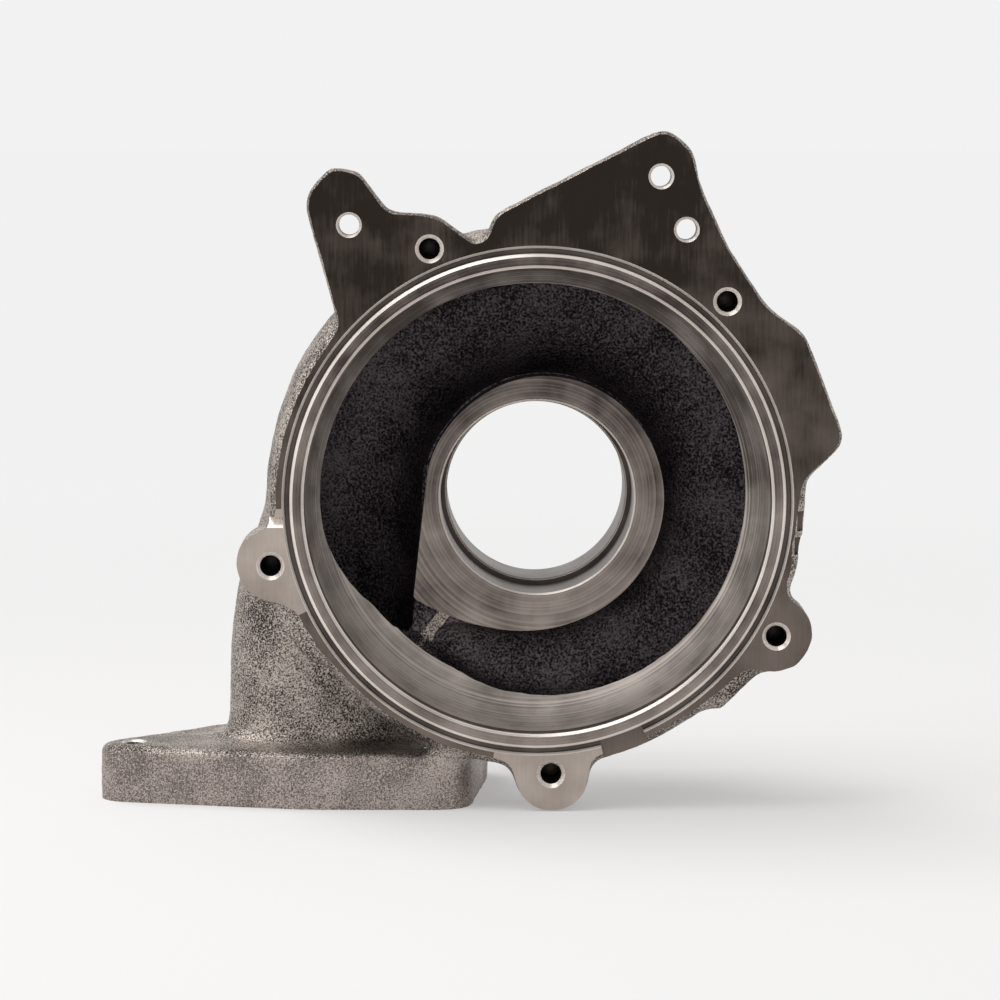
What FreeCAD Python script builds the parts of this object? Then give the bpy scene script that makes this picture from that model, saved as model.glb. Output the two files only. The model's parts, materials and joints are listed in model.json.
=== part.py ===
import FreeCAD, Part
import math
import os

# Turbine housing of a turbocharger, one iron casting with machined faces.
# Frame: the origin is the centre of the front ring face and the bore axis runs along Y.
# The ring faces -Y, the gas leaves towards +Y, and the housing stands on its inlet flange, +Z up.
# "Depth" is the distance behind the front ring face. Millimetres and degrees throughout.

# Front ring: a turned face with a register bore inside it and a narrow face groove outside it
RING_FACE_R = 79.6
RING_EDGE_BREAK = 1.0
REGISTER_R = 75.0
REGISTER_DEPTH = 7.0
REGISTER_BREAK = 0.9
GROOVE_WIDTH = 1.7
GROOVE_DEPTH = 2.6

# Concave turned band that leads from the register bore down to the gas passage
BAND_RADIUS = 24.0
BAND_INNER_R = 60.2

# Cast rim flange around the ring, and the bowl wall behind the band
RIM_R = 86.2
RIM_FRONT = 1.5
RIM_REAR = 11.0
RIM_ROUND = 1.6
BOWL_WALL = 6.5

# Central boss, seen from the front: angle and radius from the bore axis along its spiral side
BOSS_FACE_DEPTH = 17.0
BOSS_SPIRAL = (
    (171.0, 36.3),
    (135.0, 36.9),
    (90.0, 39.3),
    (45.0, 40.6),
    (0.0, 41.2),
    (-45.0, 41.7),
    (-90.0, 43.5),
    (-120.0, 46.8),
    (-140.7, 51.9),
)

# Wheel bore, from the boss to the outlet
BORE_R = 31.4
BORE_STEP_DEPTH = 40.0
BORE_RELIEF = 0.5
BORE_RELIEF_WIDTH = 1.5
THROAT_R = 29.4
THROAT_REAR = 65.0
BORE_BREAK = 0.6

# Outlet tube with its machined end flange
OUTLET_R = 34.0
OUTLET_TUBE_R = 39.5
OUTLET_FLANGE_R = 46.0
OUTLET_FLANGE_THICKNESS = 8.0
OUTLET_DEPTH = 84.0
OUTLET_ROUND = 2.5

# Scroll: the passage grows from the tongue, counter-clockwise from the front, to the inlet
TONGUE_ANGLE = -128.0
SCROLL_ZERO_ANGLE = -135.0
INLET_ANGLE = 180.0
SCROLL_STEPS = 15
SCROLL_R_START = 60.0
SCROLL_R_END = 83.3
SCROLL_R_FULL_TURN = 300.0
SCROLL_R_POWER = 0.6
SCROLL_FRONT_START = 23.3
SCROLL_FRONT_END = 18.8
SCROLL_FLOOR_START = 30.0
SCROLL_FLOOR_END = 60.0
SCROLL_FLOOR_POWER = 0.65
SCROLL_INNER_GAP = 0.5
CAST_WALL = 5.6

# Shape of a passage section: 2 is an ellipse quadrant and a larger power is squarer.
# The quadrants are outer front, inner front, inner rear and outer rear.
SECTION_POINTS = 16
SCROLL_POWERS = (2.0, 6.0, 2.3, 2.0)
PORT_POWER = 2.8

# Inlet neck, and the port in the inlet flange
STAND_HEIGHT = 100.3
NECK_STEPS = 5
NECK_STRAIGHT_BELOW = 60.0
PORT_INNER_X = 41.5
PORT_OUTER_X = 95.5
PORT_FRONT = 28.5
PORT_REAR = 64.0

# Inlet flange: circles whose common outline is the flange, x, depth and radius
FLANGE_THICKNESS = 18.3
FLANGE_LEFT_BOLT = (-132.4, 29.3, 10.8)
FLANGE_FRONT_BOLT = (-32.5, 14.8, 11.4)
FLANGE_REAR_BOLT = (-27.0, 66.0, 11.4)
FLANGE_PORT_RIM = (-70.5, 46.0, 41.8)
FLANGE_TOP_ROUND = 3.0
NECK_FILLET = 5.0

# Tapped holes M8 around the ring, on one bolt circle, and M8 in the inlet flange
TAP_DRILL_R = 3.4
TAP_MOUTH_R = 4.6
TAP_DEPTH = 18.0
TAP_CIRCLE_R = 88.2
TAP_BOSS_REAR = 24.0
PLATE_TAP_ANGLES = (46.8, 113.1)
PLATE_TAP_BOSS_R = 9.5
FLANGE_TAP_MOUTH_R = 4.1

# Ears with tapped holes: angle, outer radius, and half widths at the root, clockwise and counter
EARS = (
    (193.4, 10.9, 13.4, 12.0),
    (272.8, 12.2, 11.5, 13.0),
    (330.5, 11.2, 12.0, 14.0),
)
EAR_ROOT_R = 70.0
EAR_FACE = 1.0
EAR_REAR_ROUND = 2.0

# Flat plates on the upper edge, as outline corners: x, z and corner radius
PLATE_FACE = 1.0
PLATE_THICKNESS = 9.5
PLATE_ROUND = 1.6
LEFT_PLATE = (
    (-60.3, 44.0, 0.0),
    (-75.2, 97.4, 10.0),
    (-66.2, 107.2, 4.0),
    (-57.0, 105.8, 5.0),
    (-47.4, 92.6, 5.0),
    (-32.5, 92.2, 12.0),
    (-15.5, 79.4, 0.0),
    (-20.0, 60.0, 0.0),
)
RIGHT_PLATE = (
    (-17.5, 78.0, 0.0),
    (-14.6, 91.8, 7.0),
    (40.4, 119.8, 6.0),
    (49.6, 112.4, 6.0),
    (51.6, 101.4, 12.0),
    (61.3, 80.6, 18.0),
    (73.5, 62.3, 16.0),
    (85.6, 53.8, 9.0),
    (99.0, 19.0, 7.0),
    (84.0, 4.8, 4.0),
    (70.0, 2.0, 0.0),
    (40.0, 50.0, 0.0),
)

# Plain holes for M6 screws in the plates: x and z
PLATE_HOLE_R = 3.3
PLATE_HOLES = (
    (-60.2, 88.7),
    (39.1, 104.1),
    (47.3, 87.2),
)
HOLE_BREAK = 0.8

# Cast webs beside the left and right ears, as outline corners: x, z and corner radius
WEB_FRONT = 2.6
LEFT_WEB = (
    (-83.0, -22.0, 0.0),
    (-87.0, -28.0, 0.0),
    (-80.4, -44.0, 6.0),
    (-73.2, -52.4, 5.0),
    (-60.0, -55.0, 0.0),
    (-58.0, -40.0, 0.0),
)
RIGHT_WEB = (
    (70.0, -40.0, 0.0),
    (76.6, -50.8, 0.0),
    (59.2, -68.0, 2.5),
    (48.0, -66.0, 0.0),
    (45.0, -60.0, 0.0),
)

# Milled pocket across the ring's outer edge, lower right
POCKET_START_ANGLE = 289.8
POCKET_END_ANGLE = 303.4
POCKET_DEPTH = 4.2

# Two notches milled in the right edge of the rim: lower and upper z, inner x and depth
RIM_NOTCHES = (
    (-9.5, -3.0, 83.2, 5.5),
    (-17.2, -11.4, 82.4, 8.0),
)

AXIS = FreeCAD.Vector(0, 1, 0)
BIG = 200.0


def at_angle(radius, angle, depth=0.0):
    """Point at a radius from the bore axis, at an angle seen from the front."""
    turn = math.radians(angle)
    return FreeCAD.Vector(radius * math.cos(turn), depth, radius * math.sin(turn))


def turned(profile):
    """Solid of revolution about the bore axis from corners of (radius, depth)."""
    corners = [FreeCAD.Vector(radius, depth, 0) for radius, depth in profile]
    face = Part.Face(Part.makePolygon(corners + corners[:1]))
    return face.revolve(FreeCAD.Vector(0, 0, 0), AXIS, 360)


def cylinder(radius, start, end):
    """Round bar about the bore axis between two depths."""
    return Part.makeCylinder(radius, end - start, FreeCAD.Vector(0, start, 0), AXIS)


def rounded_outline(corners):
    """Closed outline of straight lines and tangent arcs in the front plane."""
    spots = [FreeCAD.Vector(x, 0, z) for x, z, radius in corners]
    ends = []
    count = len(spots)
    for index, (x, z, radius) in enumerate(corners):
        corner = spots[index]
        back = (spots[index - 1] - corner).normalize()
        ahead = (spots[(index + 1) % count] - corner).normalize()
        if radius == 0:
            ends.append((corner, None, corner))
            continue
        half = back.getAngle(ahead) / 2
        reach = radius / math.tan(half)
        middle = (back + ahead).normalize()
        centre = corner + middle * (radius / math.sin(half))
        ends.append((corner + back * reach, centre - middle * radius, corner + ahead * reach))
    edges = []
    for index, (start, middle, end) in enumerate(ends):
        if middle is not None:
            edges.append(Part.Arc(start, middle, end).toShape())
        edges.append(Part.LineSegment(end, ends[(index + 1) % count][0]).toShape())
    return Part.Wire(edges)


def prism(outline, front, rear):
    """Slab of the outline between two depths."""
    face = Part.Face(outline)
    face.translate(FreeCAD.Vector(0, front, 0))
    return face.extrude(FreeCAD.Vector(0, rear - front, 0))


def edges_at(shape, inside, tolerance=0.01):
    """Edges whose whole bounding box passes the test of (low, high) along X, Y and Z."""
    found = []
    for edge in shape.Edges:
        box = edge.BoundBox
        if inside(box, tolerance):
            found.append(edge)
    return found


def rounded_edges_at_depth(shape, depths, radius):
    """The slab with the edges of its front or rear face rounded."""
    edges = []
    for depth in depths:
        edges += edges_at(
            shape, lambda box, near: abs(box.YMin - depth) < near and abs(box.YMax - depth) < near
        )
    return shape.makeFillet(radius, edges)


def band_depth(radius):
    """Depth of the concave band at a radius from the bore axis."""
    centre_r = REGISTER_R - BAND_RADIUS
    return REGISTER_DEPTH + math.sqrt(BAND_RADIUS ** 2 - (radius - centre_r) ** 2)


def band_arc(radius, start_r, end_r):
    """Arc of the band's section, or of the bowl wall parallel to it."""
    centre_r = REGISTER_R - BAND_RADIUS

    def spot(at_r):
        return FreeCAD.Vector(
            at_r, REGISTER_DEPTH + math.sqrt(radius ** 2 - (at_r - centre_r) ** 2), 0
        )

    return Part.Arc(spot(start_r), spot((start_r + end_r) / 2), spot(end_r)).toShape()


def turned_with_arc(lead, arc, tail):
    """Solid of revolution whose section is corners, then an arc, then corners."""
    arc_start = arc.firstVertex().Point
    arc_end = arc.lastVertex().Point
    before = [FreeCAD.Vector(radius, depth, 0) for radius, depth in lead] + [arc_start]
    after = [arc_end] + [FreeCAD.Vector(radius, depth, 0) for radius, depth in tail]
    edges = list(Part.makePolygon(before).Edges) + [arc] + list(Part.makePolygon(after).Edges)
    edges.append(Part.LineSegment(after[-1], before[0]).toShape())
    face = Part.Face(Part.Wire(edges))
    return face.revolve(FreeCAD.Vector(0, 0, 0), AXIS, 360)


def cavity():
    """Turned hollow in front of the passage: register bore and concave band."""
    band_floor = band_depth(BAND_INNER_R)
    lead = ((0, -1), (REGISTER_R + REGISTER_BREAK + 1, -1), (REGISTER_R, REGISTER_BREAK))
    tail = ((0, band_floor),)
    return turned_with_arc(lead, band_arc(BAND_RADIUS, REGISTER_R, BAND_INNER_R), tail)


def bowl():
    """Turned wall of the ring and of the bowl behind the band."""
    wall_radius = BAND_RADIUS + BOWL_WALL
    centre_r = REGISTER_R - BAND_RADIUS
    outer_r = REGISTER_R + BOWL_WALL - 0.4
    floor = REGISTER_DEPTH + wall_radius
    edge_r = RING_FACE_R - RING_EDGE_BREAK
    rim_root = RING_FACE_R + GROOVE_WIDTH + 1
    lead = ((0, 0), (edge_r, 0), (RING_FACE_R, RING_EDGE_BREAK), (RING_FACE_R, RIM_FRONT))
    lead += ((rim_root, RIM_FRONT), (rim_root, RIM_REAR), (outer_r, RIM_REAR))
    return turned_with_arc(lead, band_arc(wall_radius, outer_r - 0.6, centre_r), ((0, floor),))


def face_groove():
    """Turned groove around the ring face, with a chamfer on its outer lip."""
    outer_r = RING_FACE_R + GROOVE_WIDTH
    profile = (
        (RING_FACE_R, -1),
        (RING_FACE_R, GROOVE_DEPTH),
        (outer_r, GROOVE_DEPTH),
        (outer_r, RIM_FRONT + 0.4),
        (outer_r + RIM_FRONT + 1.4, -1),
    )
    return turned(profile)


def boss_outline():
    """Teardrop outline of the boss: a spiral side and a straight side that ends at the tongue."""
    spots = [at_angle(radius, angle) for angle, radius in BOSS_SPIRAL]
    spiral = Part.BSplineCurve()
    spiral.interpolate(spots)
    straight = Part.LineSegment(spots[-1], spots[0])
    return Part.Wire([spiral.toShape(), straight.toShape()])


def boss_radius(angle):
    """Radius of the boss's spiral side at an angle."""
    for (high, high_r), (low, low_r) in zip(BOSS_SPIRAL, BOSS_SPIRAL[1:]):
        if low <= angle <= high:
            return low_r + (high_r - low_r) * (angle - low) / (high - low)
    return BOSS_SPIRAL[0][1]


def section(origin, outward, limits, powers, offset):
    """Ring of control points round a passage section. Limits are inner, outer, front and rear."""
    inner, outer, front, rear = limits
    half_width = (outer - inner) / 2 + offset
    half_depth = (rear - front) / 2 + offset
    centre = origin + outward * ((inner + outer) / 2) + AXIS * ((front + rear) / 2)
    overshoot = 3 / (2 + math.cos(2 * math.pi / SECTION_POINTS))
    spots = []
    for index in range(SECTION_POINTS):
        turn = 2 * math.pi * index / SECTION_POINTS
        across = math.cos(turn)
        forward = math.sin(turn)
        power = powers[4 * index // SECTION_POINTS]
        reach = overshoot * (abs(across) ** power + abs(forward) ** power) ** (-1 / power)
        side = outward * (half_width * reach * across)
        spots.append(centre + side - AXIS * (half_depth * reach * forward))
    return spots


def swept_body(rings):
    """Closed body whose side is one smooth surface over rings of control points."""
    count = len(rings)
    around = len(rings[0])
    surface = Part.BSplineSurface()
    surface.buildFromPolesMultsKnots(
        rings,
        [4] + [1] * (count - 4) + [4],
        [1] * (around + 1),
        list(range(count - 2)),
        list(range(around + 1)),
        False, True, 3, 3,
    )
    faces = [surface.toShape()]
    for end in (0, count - 3):
        faces.append(Part.Face(Part.Wire(surface.uIso(end).toShape())))
    shell = Part.Shell(faces)
    shell.sewShape()
    body = Part.Solid(shell)
    if body.Volume < 0:
        body.reverse()
    return body


def scroll_limits(angle):
    """Inner, outer, front and rear limits of the scroll passage at an angle."""
    travel = angle - SCROLL_ZERO_ANGLE
    share = travel / (INLET_ANGLE - SCROLL_ZERO_ANGLE)
    growth = math.sin(math.radians(90 * travel / SCROLL_R_FULL_TURN)) ** SCROLL_R_POWER
    inner = boss_radius(angle) + SCROLL_INNER_GAP
    outer = SCROLL_R_START + (SCROLL_R_END - SCROLL_R_START) * growth
    front = SCROLL_FRONT_START + (SCROLL_FRONT_END - SCROLL_FRONT_START) * share ** 3
    rear = SCROLL_FLOOR_START + (SCROLL_FLOOR_END - SCROLL_FLOOR_START) * share ** SCROLL_FLOOR_POWER
    return inner, outer, front, rear


def inlet_section(drop, offset):
    """Section of the inlet neck at a height below the bore axis."""
    ease = 1 - max(0.0, 1 - drop / NECK_STRAIGHT_BELOW) ** 2
    start = scroll_limits(INLET_ANGLE)
    end = (PORT_INNER_X, PORT_OUTER_X, PORT_FRONT, PORT_REAR)
    limits = [low + (high - low) * ease for low, high in zip(start, end)]
    powers = [low + (PORT_POWER - low) * ease for low in SCROLL_POWERS]
    outward = at_angle(1, INLET_ANGLE)
    return section(at_angle(drop, INLET_ANGLE + 90), outward, limits, powers, offset)


def scroll(offset):
    """Scroll passage from the tongue to the inlet, grown by the offset."""
    step = (INLET_ANGLE - TONGUE_ANGLE) / SCROLL_STEPS
    widen = 3 / (2 + math.cos(math.radians(step)))
    rings = []
    for index in range(SCROLL_STEPS):
        angle = TONGUE_ANGLE + step * index
        limits = list(scroll_limits(angle))
        if index > 0:
            limits[:2] = [radius * widen for radius in limits[:2]]
        rings.append(section(FreeCAD.Vector(0, 0, 0), at_angle(1, angle), limits, SCROLL_POWERS, offset))
    mouth = section(FreeCAD.Vector(0, 0, 0), at_angle(1, INLET_ANGLE), scroll_limits(INLET_ANGLE),
                    SCROLL_POWERS, offset)
    lead = math.radians(step) * SCROLL_R_END / 4
    rings.append([spot - at_angle(lead, INLET_ANGLE + 90) for spot in mouth])
    rings.append(mouth)
    return swept_body(rings)


def neck(offset, length):
    """Inlet neck from the end of the scroll downwards, grown by the offset."""
    stations = [length * index / NECK_STEPS for index in range(NECK_STEPS + 1)]
    stations.insert(1, length / NECK_STEPS / 3)
    rings = []
    for index, drop in enumerate(stations):
        if index == 1:
            rings.append([spot + at_angle(drop, INLET_ANGLE + 90) for spot in rings[0]])
        else:
            rings.append(inlet_section(drop, offset))
    return swept_body(rings)


def circles_outline(circles):
    """Outline around circles of (x, depth, radius), given counter-clockwise from above."""
    tangents = []
    count = len(circles)
    for index, (x, y, radius) in enumerate(circles):
        next_x, next_y, next_radius = circles[(index + 1) % count]
        span = FreeCAD.Vector(next_x - x, next_y - y, 0)
        lean = (radius - next_radius) / span.Length
        span.normalize()
        side = FreeCAD.Vector(span.y, -span.x, 0)
        normal = span * lean + side * math.sqrt(1 - lean ** 2)
        tangents.append((FreeCAD.Vector(x, y, 0) + normal * radius,
                         FreeCAD.Vector(next_x, next_y, 0) + normal * next_radius))
    edges = []
    for index, (x, y, radius) in enumerate(circles):
        start = tangents[index - 1][1]
        end = tangents[index][0]
        centre = FreeCAD.Vector(x, y, 0)
        middle = centre + (start + end - centre * 2).normalize() * radius
        edges.append(Part.Arc(start, middle, end).toShape())
        edges.append(Part.LineSegment(end, tangents[index][1]).toShape())
    return Part.Wire(edges)


def inlet_flange():
    """Flange plate with a rounded cast top edge and a flat machined underside."""
    outline = circles_outline((FLANGE_LEFT_BOLT, FLANGE_PORT_RIM, FLANGE_FRONT_BOLT,
                               FLANGE_REAR_BOLT, FLANGE_PORT_RIM))
    face = Part.Face(outline)
    face.translate(FreeCAD.Vector(0, 0, -STAND_HEIGHT))
    slab = face.extrude(FreeCAD.Vector(0, 0, FLANGE_THICKNESS))
    top = -STAND_HEIGHT + FLANGE_THICKNESS
    rim = edges_at(slab, lambda box, near: abs(box.ZMin - top) < near and abs(box.ZMax - top) < near)
    return slab.makeFillet(FLANGE_TOP_ROUND, rim)


def ear(angle, radius, root_clockwise, root_counter):
    """Ear with a tapped hole, standing out from the ring at an angle."""
    tip = TAP_CIRCLE_R + radius
    local = (
        (EAR_ROOT_R, -root_clockwise, 0.0),
        (tip, -radius, radius * 0.98),
        (tip, radius, radius * 0.98),
        (EAR_ROOT_R, root_counter, 0.0),
    )
    slab = prism(rounded_outline(local), EAR_FACE, TAP_BOSS_REAR)
    slab = rounded_edges_at_depth(slab, (TAP_BOSS_REAR,), EAR_REAR_ROUND)
    slab.rotate(FreeCAD.Vector(0, 0, 0), AXIS, -angle)
    return slab


def plate(corners):
    """Flat machined plate with rounded cast edges."""
    slab = prism(rounded_outline(corners), PLATE_FACE, PLATE_FACE + PLATE_THICKNESS)
    return rounded_edges_at_depth(slab, (PLATE_FACE, PLATE_FACE + PLATE_THICKNESS), PLATE_ROUND)


def tap_boss(angle):
    """Round boss behind a plate that gives a tapped hole its depth."""
    spot = at_angle(TAP_CIRCLE_R, angle, PLATE_FACE + PLATE_THICKNESS / 2)
    return Part.makeCylinder(PLATE_TAP_BOSS_R, TAP_BOSS_REAR - spot.y, spot, AXIS)


def blind_hole(spot, direction, depth, radius, mouth_r):
    """Drilled blind hole with a countersunk mouth and a drill point."""
    hole = Part.makeCylinder(radius, depth, spot, direction)
    point = Part.makeCone(radius, 0, radius * 0.6, spot + direction * depth, direction)
    sink = mouth_r - radius
    mouth = Part.makeCone(mouth_r + 1, radius, sink + 1, spot - direction, direction)
    return hole.fuse([point, mouth])


def through_hole(spot, direction, length, radius, mouth_r):
    """Hole through a wall with both mouths countersunk."""
    hole = Part.makeCylinder(radius, length + 2, spot - direction, direction)
    sink = mouth_r - radius
    near = Part.makeCone(mouth_r + 1, radius, sink + 1, spot - direction, direction)
    far_spot = spot + direction * (length + 1)
    far = Part.makeCone(mouth_r + 1, radius, sink + 1, far_spot, direction * -1)
    return hole.fuse([near, far])


def bore_cut():
    """Wheel bore: counterbore with a relief groove, throat, and opening outlet."""
    relief_r = BORE_R + BORE_RELIEF
    relief_start = BORE_STEP_DEPTH - BORE_RELIEF_WIDTH
    profile = (
        (0, BOSS_FACE_DEPTH - 1),
        (BORE_R + BORE_BREAK + 1, BOSS_FACE_DEPTH - 1),
        (BORE_R, BOSS_FACE_DEPTH + BORE_BREAK),
        (BORE_R, relief_start),
        (relief_r, relief_start),
        (relief_r, BORE_STEP_DEPTH),
        (THROAT_R + BORE_BREAK, BORE_STEP_DEPTH),
        (THROAT_R, BORE_STEP_DEPTH + BORE_BREAK),
        (THROAT_R, THROAT_REAR),
        (OUTLET_R, OUTLET_DEPTH - OUTLET_FLANGE_THICKNESS),
        (OUTLET_R, OUTLET_DEPTH - BORE_BREAK),
        (OUTLET_R + BORE_BREAK + 1, OUTLET_DEPTH + 1),
        (0, OUTLET_DEPTH + 1),
    )
    return turned(profile)


def outlet():
    """Outlet tube with its end flange."""
    tube = cylinder(OUTLET_TUBE_R, BOSS_FACE_DEPTH + BAND_RADIUS / 2, OUTLET_DEPTH)
    front = OUTLET_DEPTH - OUTLET_FLANGE_THICKNESS
    slope = OUTLET_FLANGE_R - OUTLET_TUBE_R
    collar = turned((
        (0, front - slope),
        (OUTLET_TUBE_R, front - slope),
        (OUTLET_FLANGE_R, front),
        (OUTLET_FLANGE_R, OUTLET_DEPTH - BORE_BREAK),
        (OUTLET_FLANGE_R - BORE_BREAK, OUTLET_DEPTH),
        (0, OUTLET_DEPTH),
    ))
    return [tube, collar]


def edge_pocket():
    """Milled pocket across the groove and the rim at the lower right."""
    span = POCKET_END_ANGLE - POCKET_START_ANGLE
    profile = [FreeCAD.Vector(radius, depth, 0) for radius, depth in (
        (RING_FACE_R + 0.2, -1), (BIG, -1), (BIG, POCKET_DEPTH), (RING_FACE_R + 0.2, POCKET_DEPTH))]
    face = Part.Face(Part.makePolygon(profile + profile[:1]))
    cut = face.revolve(FreeCAD.Vector(0, 0, 0), AXIS, span)
    cut.rotate(FreeCAD.Vector(0, 0, 0), AXIS, -POCKET_END_ANGLE)
    return cut


def rim_notch(low, high, inner_x, depth):
    """Notch in the rim's right edge."""
    return Part.makeBox(BIG - inner_x, depth + 1, high - low, FreeCAD.Vector(inner_x, -1, low))


def casting():
    """The raw casting, before machining."""
    rim = cylinder(RIM_R, RIM_FRONT, RIM_REAR)
    rim = rounded_edges_at_depth(rim, (RIM_FRONT, RIM_REAR), RIM_ROUND)
    pieces = [rim, plate(LEFT_PLATE), plate(RIGHT_PLATE)] + outlet()
    pieces += [ear(*values) for values in EARS]
    pieces += [tap_boss(angle) for angle in PLATE_TAP_ANGLES]
    for web in (LEFT_WEB, RIGHT_WEB):
        pieces.append(prism(rounded_outline(web), WEB_FRONT, RIM_REAR + 2))
    body = bowl()
    for piece in pieces:
        body = body.fuse(piece)
    inlet = neck(CAST_WALL, STAND_HEIGHT - FLANGE_THICKNESS / 2).fuse(inlet_flange())
    return body.fuse(scroll(CAST_WALL)).fuse(inlet)


def holes():
    """Cutters for every tapped and plain hole."""
    cuts = []
    for angle in PLATE_TAP_ANGLES + tuple(values[0] for values in EARS):
        spot = at_angle(TAP_CIRCLE_R, angle, PLATE_FACE)
        cuts.append(blind_hole(spot, AXIS, TAP_DEPTH, TAP_DRILL_R, TAP_MOUTH_R))
    for x, z in PLATE_HOLES:
        spot = FreeCAD.Vector(x, PLATE_FACE, z)
        cuts.append(through_hole(spot, AXIS, PLATE_THICKNESS, PLATE_HOLE_R, PLATE_HOLE_R + HOLE_BREAK))
    for x, y, radius in (FLANGE_LEFT_BOLT, FLANGE_FRONT_BOLT, FLANGE_REAR_BOLT):
        spot = FreeCAD.Vector(x, y, -STAND_HEIGHT)
        cuts.append(through_hole(spot, FreeCAD.Vector(0, 0, 1), FLANGE_THICKNESS, TAP_DRILL_R,
                                 FLANGE_TAP_MOUTH_R))
    return cuts


def main():
    os.makedirs("parts", exist_ok=True)
    floor = REGISTER_DEPTH + BAND_RADIUS + BOWL_WALL
    boss = prism(boss_outline(), BOSS_FACE_DEPTH, floor)
    housing = casting()
    housing = housing.cut(cavity().cut(boss))
    housing = housing.cut(scroll(0).fuse(neck(0, STAND_HEIGHT + 1)))
    housing = housing.cut(bore_cut())
    housing = housing.cut([face_groove(), edge_pocket()] + [rim_notch(*values) for values in RIM_NOTCHES])
    housing = housing.cut(holes())
    print("solids", len(housing.Solids), "valid", housing.isValid(), "volume", round(housing.Volume))
    housing.exportStep("parts/turbine_housing.step")


main()
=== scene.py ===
import bpy
import bmesh
import json
import math
import numpy as np
from mathutils import Euler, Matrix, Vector, noise
from mathutils.bvhtree import BVHTree


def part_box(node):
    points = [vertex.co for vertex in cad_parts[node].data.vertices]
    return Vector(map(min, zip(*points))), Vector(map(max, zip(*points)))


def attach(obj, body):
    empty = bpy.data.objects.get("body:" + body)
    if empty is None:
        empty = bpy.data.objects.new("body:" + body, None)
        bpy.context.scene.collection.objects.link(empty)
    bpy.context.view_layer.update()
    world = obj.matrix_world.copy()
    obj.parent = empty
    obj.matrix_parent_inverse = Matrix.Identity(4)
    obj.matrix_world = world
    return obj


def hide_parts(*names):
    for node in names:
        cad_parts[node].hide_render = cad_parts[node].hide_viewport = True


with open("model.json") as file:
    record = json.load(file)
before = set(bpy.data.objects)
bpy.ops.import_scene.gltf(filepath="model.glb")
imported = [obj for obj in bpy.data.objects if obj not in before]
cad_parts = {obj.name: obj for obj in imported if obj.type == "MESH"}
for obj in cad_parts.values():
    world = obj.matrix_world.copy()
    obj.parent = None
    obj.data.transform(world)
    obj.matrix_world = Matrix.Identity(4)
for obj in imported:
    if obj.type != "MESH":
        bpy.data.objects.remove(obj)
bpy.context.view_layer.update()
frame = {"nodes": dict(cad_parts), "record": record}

NODE = "turbine_housing"
MM = 0.001
MOUNTS = {mount["name"]: mount for mount in frame["record"]["mounts"]}
LOW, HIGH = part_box(NODE)
FLOOR_Z = MOUNTS["inlet_face"]["pos_m"][2]
OUTLET_Y = MOUNTS["outlet_face"]["pos_m"][1]


def radius_of(name):
    """Radius in metres of a round mount."""
    return MOUNTS[name]["dims"]["r_mm"] * MM


# Camera of the photograph: a long lens, a little above and to the left of the bore axis
CAMERA_PLACE = (-23.27 * MM, -1272.74 * MM, 134.68 * MM)
CAMERA_PITCH = 6.0
CAMERA_YAW = 0.5
CAMERA_LENS = 144.0
CAMERA_SENSOR = 36.0

# Turned features of the front, each a radius or a depth behind the ring face
REGISTER_R = radius_of("ring_register")
REGISTER_DEPTH = 7.0 * MM
REGISTER_BREAK = 0.9 * MM
RING_FACE_R = 79.6 * MM
RING_EDGE_BREAK = 1.0 * MM
GROOVE_WIDTH = 1.7 * MM
GROOVE_DEPTH = 2.6 * MM
PLATE_FACE = 1.0 * MM
LIP_BREAK = 0.8 * MM
BAND_RADIUS = 24.0 * MM
BAND_INNER_R = 60.2 * MM
BAND_EDGE_R = 63.4 * MM
BOWL_SINK = 1.2 * MM
BOSS_FACE_DEPTH = 17.0 * MM
BORE_BREAK = 0.6 * MM
BORE_R = radius_of("wheel_bore")
BORE_STEP_DEPTH = 40.0 * MM
BORE_RELIEF = 0.5 * MM
BORE_RELIEF_WIDTH = 1.5 * MM
THROAT_R = radius_of("throat_bore")
THROAT_REAR = 65.0 * MM
OUTLET_R = radius_of("outlet_bore")
OUTLET_FLANGE_R = 46.0 * MM
OUTLET_FLANGE_THICKNESS = 8.0 * MM
SEGMENTS = 256
BAND_STEPS = 14
CUTTER_REACH = 4.0 * MM
CUTTER_WIDTH = 200.0 * MM

# Holes and milled features
TAP_SINK = 1.2 * MM
TAP_DEPTH = 18.0 * MM
FLANGE_SINK = 0.7 * MM
PLAIN_SINK = 0.8 * MM
DRILL_POINT = 0.6
HOLE_SEGMENTS = 48
RIM_R = 86.0 * MM
RIM_FRONT = 1.5 * MM
RIM_REAR = 11.0 * MM
POCKET_ANGLES = (284.5, 294.7)
POCKET_DEPTH = 3.4 * MM
FILL_ANGLES = (288.0, 305.0)
RIM_NOTCHES = ((-9.5, -3.0, 83.2, 5.5), (-17.2, -11.4, 82.4, 8.0))
EAR_ANGLES = (193.4, 272.8)
EAR_SPREAD = 12.0
EAR_FOOT = ((-86.3, -22.0), (-86.3, -32.0), (-77.0, -29.5), (-72.0, -18.0))
EAR_CHAMFER = ((-88.2, -81.6), (-8.1, -4.6), 3.0)

# Squarer front inner corner of the neck's core: height, inner wall and front wall
NECK_CORNER = (
    (8.0, -36.0, 19.5),
    (-8.0, -37.6, 21.6),
    (-20.0, -38.6, 24.2),
    (-30.0, -39.3, 26.0),
    (-38.0, -40.0, 26.8),
    (-43.5, -40.7, 27.2),
    (-47.0, -43.0, 30.0),
)
NECK_CORNER_ROUND = 1.2
NECK_CORNER_REACH = (-54.0, 44.0)
NECK_CORNER_STEPS = 4

# Foot of the flange's sides, and how much wider than its face the boss is left for turning
FLANGE_THICKNESS = 17.5 * MM
BOSS_GROWTH = 0.7 * MM / BORE_R / 1.3

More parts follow.
